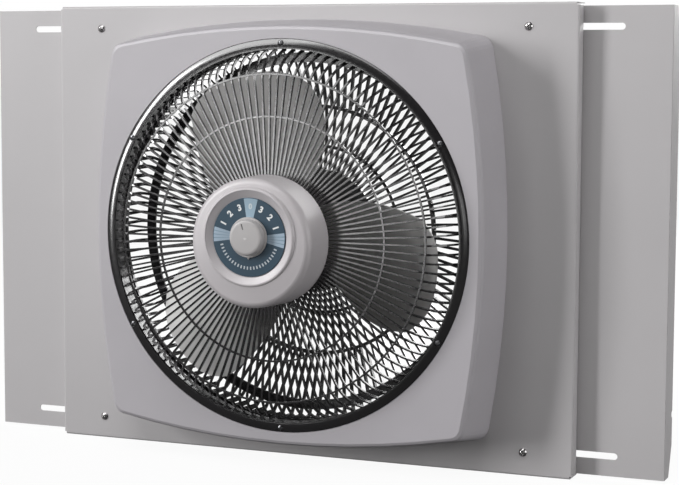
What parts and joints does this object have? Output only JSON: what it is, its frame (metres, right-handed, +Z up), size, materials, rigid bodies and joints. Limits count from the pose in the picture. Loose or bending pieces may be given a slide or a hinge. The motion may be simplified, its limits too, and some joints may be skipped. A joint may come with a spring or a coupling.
{
  "type": "window fan",
  "caption": "Window fan: a folded panel with a bowed bezel, round guards, a three-bladed wheel, a hub pod with a speed dial, and side panels that slide out.",
  "frame": {"origin": "middle of the bottom flange's underside, on the main panel's centre plane, where the fan stands on a sill", "axes": "+X along the panel to the right as seen from the room, +Y out of the window (the room side faces -Y), +Z up"},
  "size_m": [0.9, 0.2287, 0.56],
  "materials": {
    "panel_paint": "fine matte grey enamel",
    "bezel_plastic": "fine-grained grey moulding",
    "pod_plastic": "smooth warm grey moulding",
    "knob_plastic": "satin warm grey",
    "guard_plastic": "semi-gloss black",
    "blade_plastic": "satin grey",
    "dial_print": "printed blue-grey",
    "screw_steel": "dull dark zinc",
    "bright_steel": "ground",
    "motor_steel": "zinc-coated",
    "core_steel": "lacquered laminations",
    "copper_wire": "enamelled wire",
    "bronze": "sintered",
    "black_rubber": "matte",
    "dark_plastic": "matte"
  },
  "bodies": {
    "housing": {"front_panel": "panel_paint", "bezel": "bezel_plastic", "bezel_screws": "bright_steel", "front_guard": "guard_plastic", "rear_guard": "guard_plastic", "guard_screws": "screw_steel", "guard_nuts": "bright_steel", "guide_screws": "screw_steel", "guide_spacers": "bright_steel", "clamp_washers": "bright_steel", "clamp_nuts": "bright_steel", "cord_gland": "black_rubber", "control_pod": "pod_plastic", "pod_screws": "bright_steel", "dial_plate": "dial_print", "switch_body": "dark_plastic", "switch_nut": "bright_steel", "capacitor": "dark_plastic", "motor_front_bell": "motor_steel", "motor_rear_bell": "motor_steel", "stator_core": "core_steel", "stator_coils": "copper_wire", "front_bearing": "bronze", "rear_bearing": "bronze", "motor_screws": "bright_steel"},
    "left_panel": {"left_side_panel": "panel_paint"},
    "right_panel": {"right_side_panel": "panel_paint"},
    "rotor": {"fan_wheel": "blade_plastic", "rotor_core": "core_steel", "motor_shaft": "bright_steel", "drive_pin": "bright_steel", "wheel_nut": "blade_plastic"},
    "dial_knob": {"knob": "knob_plastic", "switch_shaft": "bright_steel"}
  },
  "joints": [
    {"name": "fan_spin", "type": "hinge", "parent": "housing", "child": "rotor", "pos_m": [0, -0.0175, 0.28], "axis": [0, -1, 0], "continuous": true},
    {"name": "knob_turn", "type": "hinge", "parent": "housing", "child": "dial_knob", "pos_m": [0, -0.0175, 0.2875], "axis": [0, -1, 0], "range_deg": [-67.5, 67.5]},
    {"name": "left_panel_slide", "type": "slide", "parent": "housing", "child": "left_panel", "axis": [1, 0, 0], "range_m": [0, 0.106]},
    {"name": "right_panel_slide", "type": "slide", "parent": "housing", "child": "right_panel", "axis": [-1, 0, 0], "range_m": [0, 0.106]}
  ]
}
